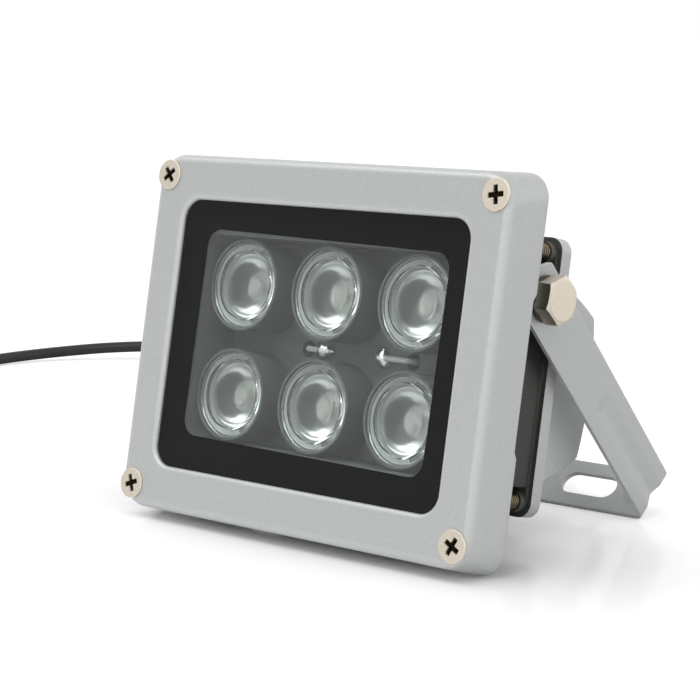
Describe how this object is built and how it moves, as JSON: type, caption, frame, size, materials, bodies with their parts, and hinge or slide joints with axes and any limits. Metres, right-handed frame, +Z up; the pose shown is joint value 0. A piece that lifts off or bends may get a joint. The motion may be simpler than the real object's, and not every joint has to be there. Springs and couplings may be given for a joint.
{
  "type": "led floodlight",
  "caption": "Small rectangular LED floodlight with lenses behind glass in a silver bezel, a black body, a rear driver housing, a tilting U bracket and a coiled lead.",
  "frame": {"origin": "on the floor, under the middle of the lamp's box without its lead", "axes": "+Z up, -Y towards the lit side, X along the bracket's pivot axis"},
  "size_m": [0.4116, 0.2034, 0.0867],
  "materials": {
    "silver_paint": "satin silver-grey paint with a fine metallic grain",
    "black_casting": "semi-gloss black coat",
    "window_glass": "clear toughened glass with a black printed border",
    "seal_rubber": "matte",
    "board_mask": "dark grey solder mask",
    "lens_plastic": "clear moulded lens plastic",
    "holder_plastic": "black nylon",
    "led_body": "white body with a clear dome",
    "solder": "bright solder",
    "white_insulation": "gloss",
    "green_board": "solder mask",
    "component_black": "moulded",
    "zinc_steel": "bright zinc plate",
    "nickel_steel": "satin nickel plate",
    "gland_nylon": "black nylon",
    "lead_jacket": "smooth black PVC jacket"
  },
  "bodies": {
    "head": {"front_bezel": "silver_paint", "front_glass": "window_glass", "glass_seal": "seal_rubber", "lamp_body": "black_casting", "led_board": "board_mask", "solder_joints": "solder", "led_leads": "white_insulation", "body_seal": "seal_rubber", "driver_housing": "silver_paint", "driver_board": "green_board", "driver_parts": "component_black", "housing_screws": "zinc_steel", "gland_body": "gland_nylon", "gland_nut": "gland_nylon", "gland_seal": "seal_rubber", "gland_locknut": "gland_nylon", "cord_tail": "lead_jacket", "led_1": "led_body", "lens_1": "lens_plastic", "lens_holder_1": "holder_plastic", "led_2": "led_body", "lens_2": "lens_plastic", "lens_holder_2": "holder_plastic", "led_3": "led_body", "lens_3": "lens_plastic", "lens_holder_3": "holder_plastic", "led_4": "led_body", "lens_4": "lens_plastic", "lens_holder_4": "holder_plastic", "led_5": "led_body", "lens_5": "lens_plastic", "lens_holder_5": "holder_plastic", "led_6": "led_body", "lens_6": "lens_plastic", "lens_holder_6": "holder_plastic", "bezel_screw_1": "nickel_steel", "bezel_screw_2": "nickel_steel", "bezel_screw_3": "nickel_steel", "bezel_screw_4": "nickel_steel", "pivot_bolt_left": "nickel_steel", "spring_washer_left": "zinc_steel", "pivot_bolt_right": "nickel_steel", "spring_washer_right": "zinc_steel", "cord": "lead_jacket", "cord_coil": "lead_jacket", "plug_body": "gland_nylon", "plug_barrel": "nickel_steel"},
    "bracket": {"bracket": "silver_paint"}
  },
  "joints": [
    {"name": "bracket_tilt", "type": "hinge", "parent": "head", "child": "bracket", "pos_m": [0, -0.00474, 0.05699], "axis": [1, 0, 0], "range_deg": [-55, 18]}
  ]
}
